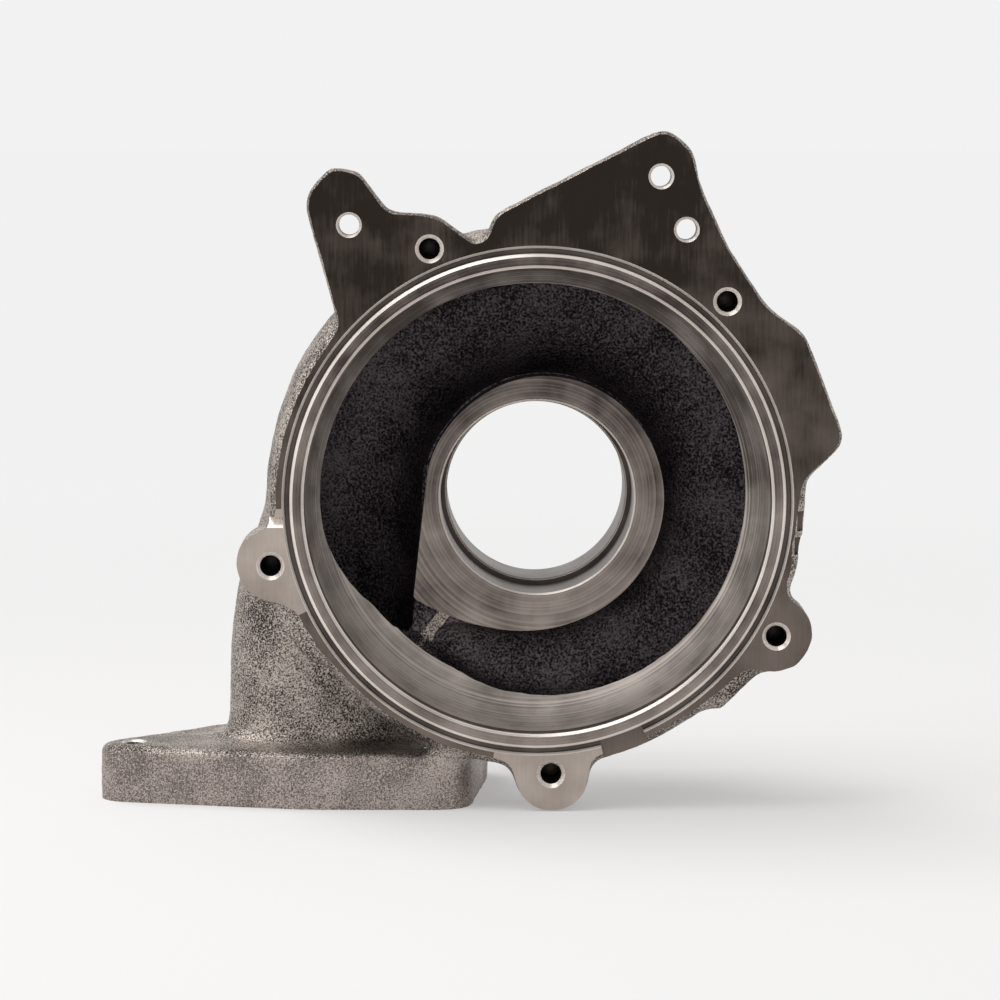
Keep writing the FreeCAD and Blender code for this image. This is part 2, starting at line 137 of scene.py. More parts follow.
# The casting's skin
SKIN_GRID = 1.4 * MM
STOCK = 2.6 * MM
STOCK_SINK = 0.4 * MM
EDGE_ROUNDS = 6
CREASE_ROUNDS = 24
EDGE_LOSS = 0.25 * MM
LUMP_SIZE = 9.0 * MM
LUMP_HEIGHT = 0.18 * MM
GRIT_SIZE = 2.8 * MM
GRIT_HEIGHT = 0.17 * MM


# Materials

PALE = "#f2f2f2"

def colour(hex_code):
    """Linear colour of an sRGB hex code."""
    channels = [int(hex_code[index:index + 2], 16) / 255 for index in (1, 3, 5)]
    linear = [c / 12.92 if c <= 0.04045 else ((c + 0.055) / 1.055) ** 2.4 for c in channels]
    return (*linear, 1.0)


def add(tree, kind, settings=None, **links):
    """Adds a node. Settings are attributes or input values, and links are inputs by name."""
    node = tree.nodes.new(kind)
    for key, value in (settings or {}).items():
        if isinstance(key, str) and hasattr(node, key):
            setattr(node, key, value)
        else:
            node.inputs[key].default_value = value
    for key, source in links.items():
        socket = node.inputs[int(key[1:])] if key[0] == "i" and key[1:].isdigit() else node.inputs[key]
        tree.links.new(source, socket)
    return node


def metal(name, metallic):
    """Material with a shader whose fixed values are set on its own sockets."""
    material = bpy.data.materials.new(name)
    material.use_nodes = True
    tree = material.node_tree
    tree.nodes.clear()
    shader = add(tree, "ShaderNodeBsdfPrincipled", {"Metallic": metallic})
    output = add(tree, "ShaderNodeOutputMaterial")
    tree.links.new(shader.outputs["BSDF"], output.inputs["Surface"])
    place = add(tree, "ShaderNodeTexCoord").outputs["Object"]
    return material, tree, shader, place


def ramp(tree, source, stops):
    """Colour ramp over (position, hex colour) stops."""
    node = add(tree, "ShaderNodeValToRGB", i0=source)
    elements = node.color_ramp.elements
    while len(elements) < len(stops):
        elements.new(0.5)
    for element, (position, code) in zip(elements, stops):
        element.position = position
        element.color = colour(code)
    return node.outputs["Color"]


def spread(tree, source, low, high, from_low=0.0, from_high=1.0):
    """Maps a value to a new range."""
    node = add(tree, "ShaderNodeMapRange", {1: from_low, 2: from_high, 3: low, 4: high}, i0=source)
    return node.outputs["Result"]


def speckle(tree, place, size, detail=2.0):
    """Fine noise whose grains are about the size in metres."""
    return add(tree, "ShaderNodeTexNoise", {"Scale": 1 / size, "Detail": detail}, Vector=place)


def lathe_marks(tree, place, pitch):
    """Rings round the bore axis, one about every pitch, on faces and on cylinders alike."""
    split = add(tree, "ShaderNodeSeparateXYZ", i0=place)
    flat = add(tree, "ShaderNodeCombineXYZ", i0=split.outputs["X"], i1=split.outputs["Z"])
    reach = add(tree, "ShaderNodeVectorMath", {"operation": "LENGTH"}, i0=flat.outputs[0])
    line = add(tree, "ShaderNodeCombineXYZ", i0=reach.outputs["Value"], i1=split.outputs["Y"])
    return add(tree, "ShaderNodeTexNoise", {"Scale": 1 / pitch, "Detail": 3.0}, Vector=line.outputs[0])


def iron_tone(tree, place, fine, dark, light, blotch=16.0, painted_shade_lean=0.0):
    """Base colour from a fine pattern and soft blotches, with a painted shading lean: lighter towards the
    bottom and darker towards the top by the amount given.
    """
    blotches = speckle(tree, place, blotch * MM, 4.0)
    mixed = add(tree, "ShaderNodeMath", {"operation": "ADD"}, i0=fine, i1=blotches.outputs[0])
    value = spread(tree, mixed.outputs[0], 0, 1, 0.72, 1.32)
    # Painted shading: the base colour grows lighter towards the bottom and darker towards the top.
    if painted_shade_lean:
        height = add(tree, "ShaderNodeSeparateXYZ", i0=place).outputs["Z"]
        painted_shading = spread(tree, height, painted_shade_lean, -painted_shade_lean, -120 * MM, 120 * MM)
        value = add(tree, "ShaderNodeMath", {"operation": "ADD", "use_clamp": True}, i0=value,
                    i1=painted_shading).outputs[0]
    return ramp(tree, value, ((0.0, dark), (1.0, light)))


def turned_iron(name, dark, light, rough, painted_shade_lean=0.0, metallic=1.0):
    """Grey cast iron, turned on a lathe: dark graphite grey with fine rings and a soft sheen."""
    material, tree, shader, place = metal(name, metallic)
    rings = lathe_marks(tree, place, 0.8 * MM)
    # The tone carries the painted shading lean where one is given.
    tone = iron_tone(tree, place, rings.outputs[0], dark, light, 14.0, painted_shade_lean)
    tree.links.new(tone, shader.inputs["Base Color"])
    tree.links.new(spread(tree, rings.outputs[0], rough - 0.08, rough + 0.10, 0.3, 0.7),
                   shader.inputs["Roughness"])
    bump = add(tree, "ShaderNodeBump", {"Strength": 0.5, "Distance": 0.06 * MM}, Height=rings.outputs[0])
    tree.links.new(bump.outputs[0], shader.inputs["Normal"])
    return material


def milled_iron(name, dark, light, rough, painted_shade_lean=0.0):
    """Grey cast iron, face milled: flat, with faint slanting tool marks and oily stains."""
    material, tree, shader, place = metal(name, 1.0)
    stretched = add(tree, "ShaderNodeMapping", {"Scale": (1.0, 1.0, 0.08), "Rotation": (0, -1.1, 0)},
                    Vector=place)
    marks = speckle(tree, stretched.outputs[0], 0.9 * MM, 3.0)
    faint = spread(tree, marks.outputs[0], 0.36, 0.64)
    # The tone carries the painted shading lean where one is given; the blotches are the stains.
    tone = iron_tone(tree, place, faint, dark, light, 22.0, painted_shade_lean)
    tree.links.new(tone, shader.inputs["Base Color"])
    tree.links.new(spread(tree, marks.outputs[0], rough - 0.07, rough + 0.09, 0.3, 0.7),
                   shader.inputs["Roughness"])
    bump = add(tree, "ShaderNodeBump", {"Strength": 0.35, "Distance": 0.05 * MM}, Height=marks.outputs[0])
    tree.links.new(bump.outputs[0], shader.inputs["Normal"])
    return material


def cast_skin(name, dark, light, rough, grain, height):
    """Sand-cast iron skin, shot blasted: grains that catch the light one by one between dark pits, partly
    painted into the base colour.
    """
    material, tree, shader, place = metal(name, 0.9)
    # Blasted grain is about 0.3 mm, drawn about twice as coarse so that it shows
    grains = speckle(tree, place, grain * MM, 2.0)
    sand = speckle(tree, place, grain * 3.5 * MM, 3.0)
    mixed = add(tree, "ShaderNodeMath", {"operation": "MULTIPLY_ADD", 1: 0.5}, i0=sand.outputs[0],
                i2=grains.outputs[0])
    # The base colour's light specks are partly painted glints and its dark specks partly painted shade in the
    # pits, along with the grain's own tone.
    fine = spread(tree, grains.outputs[0], 0.0, 1.0, 0.28, 0.72)
    tone = iron_tone(tree, place, fine, dark, light)
    tree.links.new(tone, shader.inputs["Base Color"])
    tree.links.new(spread(tree, grains.outputs[0], rough + 0.14, rough - 0.14, 0.35, 0.65),
                   shader.inputs["Roughness"])
    bump = add(tree, "ShaderNodeBump", {"Strength": 1.0, "Distance": height * MM}, Height=mixed.outputs[0])
    tree.links.new(bump.outputs[0], shader.inputs["Normal"])
    return material


def pale_rays(tree):
    """1 for the rays that see the pale surroundings: from the camera, by gloss or through glass."""
    paths = add(tree, "ShaderNodeLightPath")
    seen = add(tree, "ShaderNodeMath", {"operation": "MAXIMUM"}, i0=paths.outputs["Is Camera Ray"],
               i1=paths.outputs["Is Glossy Ray"])
    return add(tree, "ShaderNodeMath", {"operation": "MAXIMUM"}, i0=seen.outputs[0],
               i1=paths.outputs["Is Transmission Ray"]).outputs[0]


def card_material():
    """Matt white card that fades into the pale surroundings and keeps the shadow near the housing."""
    material, tree, shader, place = metal("white_card", 0.0)
    shader.inputs["Base Color"].default_value = colour("#f0efef")
    shader.inputs["Roughness"].default_value = 0.9
    shader.inputs["Specular IOR Level"].default_value = 0.1
    reach = add(tree, "ShaderNodeVectorMath", {"operation": "LENGTH"}, i0=place)
    far = spread(tree, reach.outputs["Value"], 0.35, 0.95, 0.12, 1.0)
    share = add(tree, "ShaderNodeMath", {"operation": "MULTIPLY"}, i0=pale_rays(tree), i1=far)
    glow = add(tree, "ShaderNodeEmission", {"Color": colour(PALE), "Strength": 1.0})
    mix = add(tree, "ShaderNodeMixShader", i0=share.outputs[0], i1=shader.outputs["BSDF"],
              i2=glow.outputs[0])
    output = next(node for node in tree.nodes if node.type == "OUTPUT_MATERIAL")
    tree.links.new(mix.outputs[0], output.inputs["Surface"])
    return material


SKIN, CORE_AND_SHADE, TURNED, MILLED, DRILLED, PAINTED_HIGHLIGHT_BREAK, FACED, DRESSED, BAND_PAINTED_LIT = range(9)
# Cast skins are grey and grainy, turned faces ringed, milled faces streaked, and broken edges painted near
# white as highlights
FINISHES = [
    cast_skin("sand_cast_iron_skin", "#3f3936", "#c9beb5", 0.48, 0.55, 0.5),
    # The scroll's core skin is darker partly as the real dark skin of the core and partly as painted shade
    # inside the passage.
    cast_skin("scroll_core_skin_and_shade", "#231f22", "#6c6467", 0.60, 0.75, 0.5),
    # The turned, milled and band finishes carry painted shading leans of 0.45, 0.55 and 0.6, lighter towards
    # the bottom.
    turned_iron("turned_grey_iron", "#453e3c", "#9a8f88", 0.40, 0.45),
    milled_iron("milled_grey_iron", "#312b27", "#776c65", 0.38, 0.55),
    turned_iron("drilled_grey_iron", "#3a3432", "#6b625d", 0.45),
    # Edge breaks are painted near white as highlights on the chamfers.
    turned_iron("edge_break_painted_highlight", "#d3c9c1", "#fbf4ee", 0.28, 0.0, 0.45),
    milled_iron("faced_grey_iron", "#978b83", "#cabeb4", 0.42),
    cast_skin("dressed_iron_skin", "#6f6561", "#beb2ab", 0.50, 0.5, 0.2),
    # The band is a lighter, less metallic copy of turned iron: its lighter colour is painted light, and its
    # lean paints it lighter still towards the bottom.
    turned_iron("turned_band_painted_lit", "#7c726d", "#f0e6de", 0.46, 0.6, 0.7),
]


# Meshes

def new_object(name, mesh):
    """Object at the origin that wears every finish of the housing."""
    piece = bpy.data.objects.new(name, mesh)
    bpy.context.scene.collection.objects.link(piece)
    if not mesh.materials:
        for finish in FINISHES:
            mesh.materials.append(finish)
    return piece


def evaluated_mesh(piece):
    """The mesh of a piece with its modifiers applied."""
    bpy.context.view_layer.update()
    graph = bpy.context.evaluated_depsgraph_get()
    return bpy.data.meshes.new_from_object(piece.evaluated_get(graph))


def apply_modifiers(piece):
    """Bakes the modifiers of a piece into its mesh."""
    mesh = evaluated_mesh(piece)
    old = piece.data
    piece.modifiers.clear()
    piece.data = mesh
    bpy.data.meshes.remove(old)


def spun_mesh(name, profile, segments, axis, origin):
    """Closed turned body from (radius, distance along the axis, finish of the wall that follows)."""
    axis = Vector(axis).normalized()
    side = axis.orthogonal().normalized()
    up = axis.cross(side)
    shape = bmesh.new()
    rings = []
    for radius, along, finish in profile:
        centre = Vector(origin) + axis * along
        if radius == 0:
            rings.append([shape.verts.new(centre)] * segments)
            continue
        turn = [2 * math.pi * index / segments for index in range(segments)]
        rings.append([shape.verts.new(centre + side * (radius * math.cos(a)) + up * (radius * math.sin(a)))
                      for a in turn])
    for index, (radius, along, finish) in enumerate(profile[:-1]):
        for spot in range(segments):
            corners = [rings[index][spot], rings[index][(spot + 1) % segments],
                       rings[index + 1][(spot + 1) % segments], rings[index + 1][spot]]
            corners = list(dict.fromkeys(corners))
            if len(corners) > 2:
                shape.faces.new(corners).material_index = finish
    bmesh.ops.remove_doubles(shape, verts=shape.verts, dist=0.0001 * MM)
    bmesh.ops.recalc_face_normals(shape, faces=shape.faces)
    mesh = bpy.data.meshes.new(name)
    shape.to_mesh(mesh)
    shape.free()
    return mesh


def block_mesh(name, low, high, finish):
    """Box between two corners."""
    shape = bmesh.new()
    bmesh.ops.create_cube(shape, size=1)
    for vert in shape.verts:
        for index in range(3):
            vert.co[index] = high[index] if vert.co[index] > 0 else low[index]
    for face in shape.faces:
        face.material_index = finish
    mesh = bpy.data.meshes.new(name)
    shape.to_mesh(mesh)
    shape.free()
    return mesh


def band_depth(radius):
    """Depth of the concave band at a radius."""
    centre = REGISTER_R - BAND_RADIUS
    return REGISTER_DEPTH + math.sqrt(max(0.0, BAND_RADIUS ** 2 - (radius - centre) ** 2))


def turning_cutter():
    """Everything that the lathe and the face mill take away in front of and inside the housing."""
    lip_r = RING_FACE_R + GROOVE_WIDTH
    away = CUTTER_REACH
    wide = CUTTER_WIDTH
    # The edge breaks of this profile wear the near-white painted highlight.
    profile = [
        (0, -away, MILLED),
        (wide, -away, MILLED),
        (wide, PLATE_FACE, MILLED),
        (lip_r + LIP_BREAK, PLATE_FACE, PAINTED_HIGHLIGHT_BREAK),
        (lip_r, PLATE_FACE + LIP_BREAK, DRILLED),
        (lip_r, GROOVE_DEPTH, DRILLED),
        (RING_FACE_R, GROOVE_DEPTH, DRILLED),
        (RING_FACE_R, RING_EDGE_BREAK, PAINTED_HIGHLIGHT_BREAK),
        (RING_FACE_R - RING_EDGE_BREAK, 0, TURNED),
        (REGISTER_R + REGISTER_BREAK, 0, PAINTED_HIGHLIGHT_BREAK),
        (REGISTER_R, REGISTER_BREAK, TURNED),
    ]
    # The concave band wears the turned iron painted lighter as lit.
    for index in range(BAND_STEPS + 1):
        radius = REGISTER_R + (BAND_EDGE_R - REGISTER_R) * index / BAND_STEPS
        profile.append((radius, band_depth(radius), BAND_PAINTED_LIT))
    relief_start = BORE_STEP_DEPTH - BORE_RELIEF_WIDTH
    profile += [
        (BAND_EDGE_R, BOSS_FACE_DEPTH, TURNED),
        (BORE_R + BORE_BREAK, BOSS_FACE_DEPTH, PAINTED_HIGHLIGHT_BREAK),
        (BORE_R, BOSS_FACE_DEPTH + BORE_BREAK, TURNED),
        (BORE_R, relief_start, DRILLED),
        (BORE_R + BORE_RELIEF, relief_start, DRILLED),
        (BORE_R + BORE_RELIEF, BORE_STEP_DEPTH, DRILLED),
        (THROAT_R + BORE_BREAK, BORE_STEP_DEPTH, PAINTED_HIGHLIGHT_BREAK),
        (THROAT_R, BORE_STEP_DEPTH + BORE_BREAK, TURNED),
        (THROAT_R, THROAT_REAR, TURNED),
        (OUTLET_R, OUTLET_Y - OUTLET_FLANGE_THICKNESS, TURNED),
        (OUTLET_R, OUTLET_Y - BORE_BREAK, PAINTED_HIGHLIGHT_BREAK),
        (OUTLET_R + BORE_BREAK, OUTLET_Y, TURNED),
        (60 * MM, OUTLET_Y, TURNED),
        (60 * MM, OUTLET_Y + away, TURNED),
        (0, OUTLET_Y + away, TURNED),
    ]
    return spun_mesh("turning", profile, SEGMENTS, (0, 1, 0), (0, 0, 0))


def outlet_cutter():
    """Ring that turns the end flange to its size."""
    front = OUTLET_Y - OUTLET_FLANGE_THICKNESS
    wide = OUTLET_FLANGE_R + 8 * MM
    profile = [
        (OUTLET_FLANGE_R, front, TURNED),
        (OUTLET_FLANGE_R, OUTLET_Y - BORE_BREAK, PAINTED_HIGHLIGHT_BREAK),
        (OUTLET_FLANGE_R - BORE_BREAK, OUTLET_Y, TURNED),
        (OUTLET_FLANGE_R - BORE_BREAK, OUTLET_Y + 1 * MM, TURNED),
        (wide, OUTLET_Y + 1 * MM, TURNED),
        (wide, front, TURNED),
        (OUTLET_FLANGE_R, front, TURNED),
    ]
    return spun_mesh("outlet", profile, SEGMENTS, (0, 1, 0), (0, 0, 0))


def prism_mesh(name, outline, front, rear, finish):
    """Slab of an outline of x and z between two depths."""
    count = len(outline)
    spots = [(x, front, z) for x, z in outline] + [(x, rear, z) for x, z in outline]
    faces = [tuple(range(count)), tuple(range(2 * count - 1, count - 1, -1))]
    for index in range(count):
        after = (index + 1) % count
        faces.append((index, index + count, after + count, after))
    return plain_mesh(name, spots, faces, finish)


def plain_mesh(name, spots, faces, finish):
    """Closed mesh of one finish, with its faces pointing outwards."""
    mesh = bpy.data.meshes.new(name)
    mesh.from_pydata(spots, [], faces)
    for face in mesh.polygons:
        face.material_index = finish
    shape = bmesh.new()
    shape.from_mesh(mesh)
    bmesh.ops.recalc_face_normals(shape, faces=shape.faces)
    shape.to_mesh(mesh)
    shape.free()
    return mesh


def ear_chamfer_mesh():
    """Wedge that chamfers the upper edge of the left ear."""
    (start_x, end_x), (low, high), deep = EAR_CHAMFER
    rear = PLATE_FACE + deep * MM
    front = PLATE_FACE - 1 * MM
    section = ((PLATE_FACE, low * MM), (front, low * MM), (front, high * MM), (rear, high * MM))
    spots = [(x * MM, y, z) for x in (start_x, end_x) for y, z in section]
    faces = [(0, 1, 2, 3), (7, 6, 5, 4)] + [(i, i + 4, (i + 1) % 4 + 4, (i + 1) % 4) for i in range(4)]
    # The chamfer wears the near-white painted highlight of the edge breaks.
    return plain_mesh("ear_chamfer", spots, faces, PAINTED_HIGHLIGHT_BREAK)


def neck_corner_mesh():
    """Core of the neck's squarer front inner corner."""
    far_x, rear = NECK_CORNER_REACH
    rows = []
    for height, wall, front in NECK_CORNER:
        row = [(far_x, rear), (wall, rear)]
        for index in range(NECK_CORNER_STEPS + 1):
            turn = math.pi / 2 * index / NECK_CORNER_STEPS
            row.append((wall - NECK_CORNER_ROUND * (1 - math.cos(turn)),
                        front + NECK_CORNER_ROUND * (1 - math.sin(turn))))
        row.append((far_x, front))
        rows.append([(x * MM, y * MM, height * MM) for x, y in row])
    count = len(rows[0])
    spots = [spot for row in rows for spot in row]
    faces = [tuple(range(count)), tuple(range(len(spots) - 1, len(spots) - 1 - count, -1))]
    for level in range(len(rows) - 1):
        for index in range(count):
            first = level * count + index
            after = level * count + (index + 1) % count
            faces.append((first, after, after + count, first + count))
    # The corner's core wears the core skin, painted dark partly as shade.
    return plain_mesh("neck_corner", spots, faces, CORE_AND_SHADE)


def hole_cutter(mount, sink, depth, through):
    """Drill with a countersink for one hole of the record."""
    radius = mount["dims"]["r_mm"] * MM
    length = mount["dims"]["length_mm"] * MM
    out = Vector(mount["axis"])
    place = Vector(mount["pos_m"])
    # The countersinks wear the near-white painted highlight of the edge breaks.
    if through:
        mouth = place + out * (length / 2 + sink)
        profile = [
            (0, -1 * MM, DRILLED),
            (radius + sink + 1 * MM, -1 * MM, PAINTED_HIGHLIGHT_BREAK),
            (radius, sink, DRILLED),
            (radius, sink + length, PAINTED_HIGHLIGHT_BREAK),
            (radius + sink + 1 * MM, length + 2 * sink + 1 * MM, DRILLED),
            (0, length + 2 * sink + 1 * MM, DRILLED),
        ]
    else:
        mouth = Vector((place.x, PLATE_FACE, place.z))
        profile = [
            (0, -1 * MM, DRILLED),
            (radius + sink + 1 * MM, -1 * MM, PAINTED_HIGHLIGHT_BREAK),
            (radius, sink, DRILLED),
            (radius, depth, DRILLED),
            (0, depth + radius * DRILL_POINT, DRILLED),
        ]
    return spun_mesh("drill", profile, HOLE_SEGMENTS, -out, mouth)


def hole_plug(mount, wider, extra):
    """Iron that fills a hole of the CAD solid, so that the drill cuts a crisp mouth."""
    radius = mount["dims"]["r_mm"] * MM + wider
    length = mount["dims"]["length_mm"] * MM
    out = Vector(mount["axis"])
    start = Vector(mount["pos_m"]) + out * (length / 2 + STOCK + 0.6 * MM)
    depth = length + STOCK + 0.6 * MM + extra
    profile = [(0, 0, SKIN), (radius, 0, SKIN), (radius, depth, SKIN), (0, depth, SKIN)]
    return spun_mesh("plug", profile, HOLE_SEGMENTS, -out, start)


def sector_mesh(angles, inner, outer, front, rear, finish):
    """Block over a span of angles, between two radii and two depths."""
    steps = 12
    spots = []
    for index in range(steps + 1):
        angle = math.radians(angles[0] + (angles[1] - angles[0]) * index / steps)
        for radius, y in ((inner, front), (outer, front), (outer, rear), (inner, rear)):
            spots.append((radius * math.cos(angle), y, radius * math.sin(angle)))
    last = steps * 4
    faces = [(0, 1, 2, 3), (last + 3, last + 2, last + 1, last)]
    for index in range(steps):
        for side in range(4):
            after = (side + 1) % 4
            faces.append((index * 4 + side, index * 4 + 4 + side, index * 4 + 4 + after, index * 4 + after))
    return plain_mesh("sector", spots, faces, finish)


def joined_mesh(name, meshes):
    """One mesh of several, with their finishes."""
    shape = bmesh.new()
    for mesh in meshes:
        shape.from_mesh(mesh)
    result = bpy.data.meshes.new(name)
    shape.to_mesh(result)
    shape.free()
    return result


# The raw casting

TAPS = [mount for name, mount in MOUNTS.items() if name.endswith("_tap")]
PLATE_HOLES = [mount for name, mount in MOUNTS.items() if name.endswith("plate_hole")]
FLANGE_HOLES = [mount for name, mount in MOUNTS.items() if name.endswith("flange_hole")]


def merged_solid():
    """The CAD solid as one closed mesh, with its corners and its triangles."""
    shape = bmesh.new()
    shape.from_mesh(frame["nodes"][NODE].data)
    bmesh.ops.remove_doubles(shape, verts=shape.verts, dist=0.002 * MM)
    mesh = bpy.data.meshes.new("merged")
    shape.to_mesh(mesh)
    shape.free()
    spots = np.empty(len(mesh.vertices) * 3)
    mesh.vertices.foreach_get("co", spots)
    triangles = np.array([tuple(face.vertices) for face in mesh.polygons])
    return mesh, spots.reshape(-1, 3), triangles


def machined_groups(spots):
    """Which corners lie on each machined face of the solid, and the way out of the iron there."""
    x, y, z = spots.T
    exact = 0.02 * MM
    reach = np.hypot(x, z)
    ahead = np.tile((0.0, -1.0, 0.0), (len(spots), 1))
    down = np.tile((0.0, 0.0, -1.0), (len(spots), 1))
    across = reach - (REGISTER_R - BAND_RADIUS)
    along = y - REGISTER_DEPTH
    arc = np.maximum(np.hypot(across, along), 1e-9)
    inward = -np.stack((x / np.maximum(reach, 1e-9) * across, along, z / np.maximum(reach, 1e-9) * across),
                       axis=1) / arc[:, None]
    on_band = (np.abs(arc - BAND_RADIUS) < exact) & (along > -exact) & (reach > BAND_INNER_R - exact)
    on_floor = (np.abs(y - band_depth(BAND_INNER_R)) < exact) & (reach < BAND_INNER_R + exact)
    return [
        (np.abs(y - PLATE_FACE) < exact, ahead),
        (on_band, inward),
        (on_floor, ahead),
        (np.abs(z - FLOOR_Z) < exact, down),
    ]


def stock_shell(spots, triangles, chosen, out, height, sink):
    """Closed slab of iron over the chosen part of the solid's skin."""
    picked = triangles[chosen[triangles].all(axis=1)]
    used, flat = np.unique(picked, return_inverse=True)
    picked = flat.reshape(-1, 3)
    count = len(used)
    high = spots[used] + out[used] * height
    low = spots[used] - out[used] * sink
    faces = [tuple(face) for face in picked]
    faces += [tuple(face[::-1] + count) for face in picked]
    sides = {}
    for a, b, c in picked:
        for start, end in ((a, b), (b, c), (c, a)):
            if (end, start) in sides:
                del sides[(end, start)]
            else:
                sides[(start, end)] = True
    faces += [(start, start + count, end + count, end) for start, end in sides]
    mesh = bpy.data.meshes.new("stock")
    mesh.from_pydata([tuple(spot) for spot in np.vstack((high, low))], [], faces)
    return mesh


def boss_parts(spots, triangles):
    """Triangles of the boss's face, as a stock slab and as the exact prism behind that face."""
    chosen = np.abs(spots[:, 1] - BOSS_FACE_DEPTH) < 0.02 * MM
    ahead = np.tile((0.0, -1.0, 0.0), (len(spots), 1))
    wider = spots * (1 + BOSS_GROWTH, 1, 1 + BOSS_GROWTH)
    slab = stock_shell(wider, triangles, chosen, ahead, STOCK, 3 * MM)
    prism = stock_shell(spots, triangles, chosen, ahead, 4 * MM, 20 * MM)
    for face in prism.polygons:
        # The prism's walls wear the core skin, painted dark partly as shade.
        face.material_index = CORE_AND_SHADE
    return slab, prism


def turned_stock():
    """Iron in front of the ring, in the bore and round the outlet, for the lathe to take off."""
    ring = [(REGISTER_R - STOCK, -STOCK, SKIN), (RING_FACE_R + GROOVE_WIDTH + 0.65 * MM, -STOCK, SKIN),
            (RING_FACE_R + GROOVE_WIDTH + 0.65 * MM, 5 * MM, SKIN), (REGISTER_R + 2 * MM, 8 * MM, SKIN),
            (REGISTER_R - STOCK, 8 * MM, SKIN), (REGISTER_R - STOCK, -STOCK, SKIN)]
    bore = [(0, BOSS_FACE_DEPTH - STOCK, SKIN), (BORE_R + 1.4 * MM, BOSS_FACE_DEPTH - STOCK, SKIN),
            (BORE_R + 1.4 * MM, THROAT_REAR, SKIN), (OUTLET_R + 2 * MM, THROAT_REAR + 12 * MM, SKIN),
            (OUTLET_R + 2 * MM, OUTLET_Y, SKIN), (OUTLET_FLANGE_R + STOCK, OUTLET_Y - 7 * MM, SKIN),
            (OUTLET_FLANGE_R + STOCK, OUTLET_Y + STOCK, SKIN), (0, OUTLET_Y + STOCK, SKIN)]
    return [spun_mesh("stock", profile, SEGMENTS, (0, 1, 0), (0, 0, 0)) for profile in (ring, bore)]


def passage_faces(spots, triangles):
    """Marks the solid's triangles that belong to the gas passage, spread from one inside the neck."""
    sides = np.cross(spots[triangles[:, 1]] - spots[triangles[:, 0]],
                     spots[triangles[:, 2]] - spots[triangles[:, 0]])
    normals = sides / np.maximum(np.linalg.norm(sides, axis=1), 1e-18)[:, None]
    centres = spots[triangles].mean(axis=1)
    start = int(np.argmin(np.linalg.norm(centres - np.array((-41.5, 46.0, -60.0)) * MM, axis=1)))
    owners = {}
    for index, (a, b, c) in enumerate(triangles):
        for pair in ((a, b), (b, c), (c, a)):
            owners.setdefault((min(pair), max(pair)), []).append(index)
    beside = [[] for _ in triangles]
    limit = math.cos(math.radians(35))
    for pair in owners.values():
        if len(pair) == 2 and normals[pair[0]] @ normals[pair[1]] > limit:
            beside[pair[0]].append(pair[1])
            beside[pair[1]].append(pair[0])
    inside = np.zeros(len(triangles), dtype=bool)
    inside[start] = True
    waiting = [start]
    while waiting:
        for other in beside[waiting.pop()]:
            if not inside[other]:
                inside[other] = True
                waiting.append(other)
    return inside


def skin_tree(corners, triangles):
    """Search tree for the nearest place on the solid's skin."""
    return BVHTree.FromPolygons([tuple(spot) for spot in corners], [tuple(face) for face in triangles])


def neighbour_mean(spots, edges):
    """Mean of the spots that each spot shares an edge with."""
    total = np.zeros_like(spots)
    count = np.bincount(edges.ravel(), minlength=len(spots)).astype(float)
    for axis in range(3):
        total[:, axis] = (np.bincount(edges[:, 0], weights=spots[edges[:, 1], axis], minlength=len(spots))
                          + np.bincount(edges[:, 1], weights=spots[edges[:, 0], axis], minlength=len(spots)))
    return total / np.maximum(count, 1)[:, None]


def vertex_normals(mesh, spots):
    """Normals of the mesh's vertices at the given places."""
    mesh.vertices.foreach_set("co", spots.ravel())
    mesh.update()
    normals = np.empty(len(spots) * 3)
    mesh.vertex_normals.foreach_get("vector", normals)
    return normals.reshape(-1, 3)


def in_neck_corner(spots):
    """Where the neck's core was squared, so that the solid isn't a guide there."""
    x, y, z = spots.T / MM
    return (x < -35) & (x > -56) & (y > 17) & (y < 46) & (z < 10) & (z > -49)


def remesh(piece):
    """Even grid of faces over the whole casting."""
    grid = piece.modifiers.new("sand", "REMESH")
    grid.mode = "VOXEL"
    grid.voxel_size = SKIN_GRID
    apply_modifiers(piece)


def cut(piece, mesh):
    """Takes a closed mesh away from the piece, and leaves the mesh's finish on the new faces."""
    tool = new_object("tool", mesh)
    difference = piece.modifiers.new("cut", "BOOLEAN")
    difference.operation = "DIFFERENCE"
    difference.solver = "MANIFOLD"
    difference.object = tool
    apply_modifiers(piece)
    bpy.data.objects.remove(tool)


